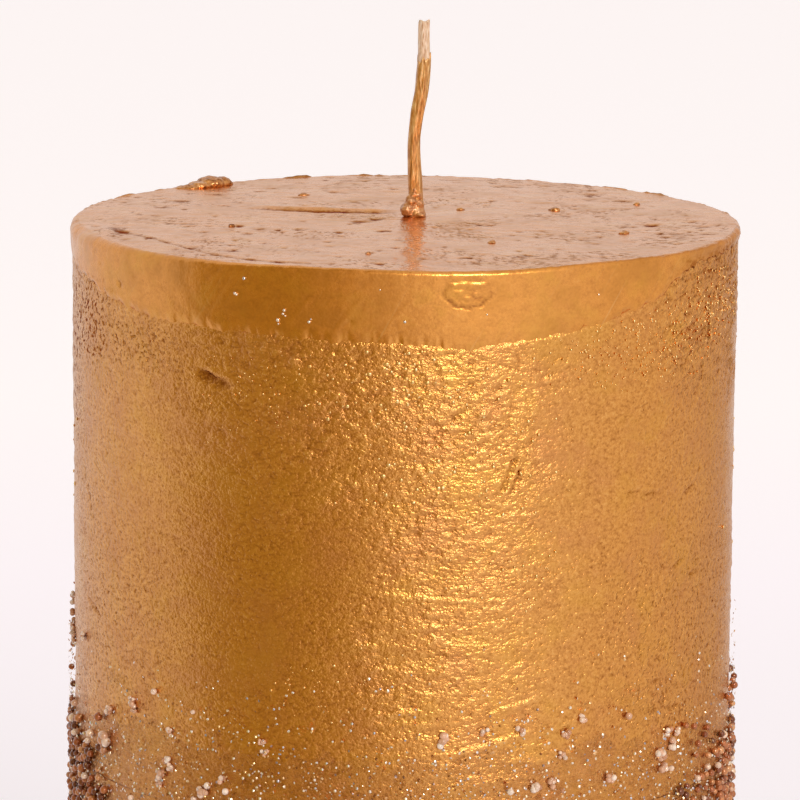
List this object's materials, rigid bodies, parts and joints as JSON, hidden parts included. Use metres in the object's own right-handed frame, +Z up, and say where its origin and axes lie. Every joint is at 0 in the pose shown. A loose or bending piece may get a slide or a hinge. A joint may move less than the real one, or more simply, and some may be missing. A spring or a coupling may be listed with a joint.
{
  "type": "unity candle",
  "caption": "Round pillar candle dipped in metallic gold wax, with a standing braided wick and a band of glued glass beads and glitter round its lower part.",
  "frame": {"origin": "centre of the base ring that the candle stands on, on the axis of the wax body", "axes": "+Z up along the axis of the wax body towards the wick; -Y is the front and +X the right-hand side, towards which the wick leans"},
  "size_m": [0.0782, 0.0782, 0.1744],
  "materials": {
    "paraffin_wax": "satin",
    "gold_wax": "satin",
    "cotton_wick": "matte",
    "tinned_steel": "satin",
    "label_paper": "matte",
    "clear_glue": "gloss",
    "glass_beads": "gloss"
  },
  "bodies": {
    "root": {"wax_core": "paraffin_wax", "gold_dip": "gold_wax", "smooth_top_dip": "gold_wax", "wick": "cotton_wick", "wick_coat": "gold_wax", "wick_foot": "gold_wax", "wick_tab": "tinned_steel", "base_label": "label_paper", "rim_drip": "gold_wax", "wax_spatters": "gold_wax", "glue_coat": "clear_glue", "bead_crust": "glass_beads", "loose_beads": "glass_beads"}
  },
  "joints": []
}
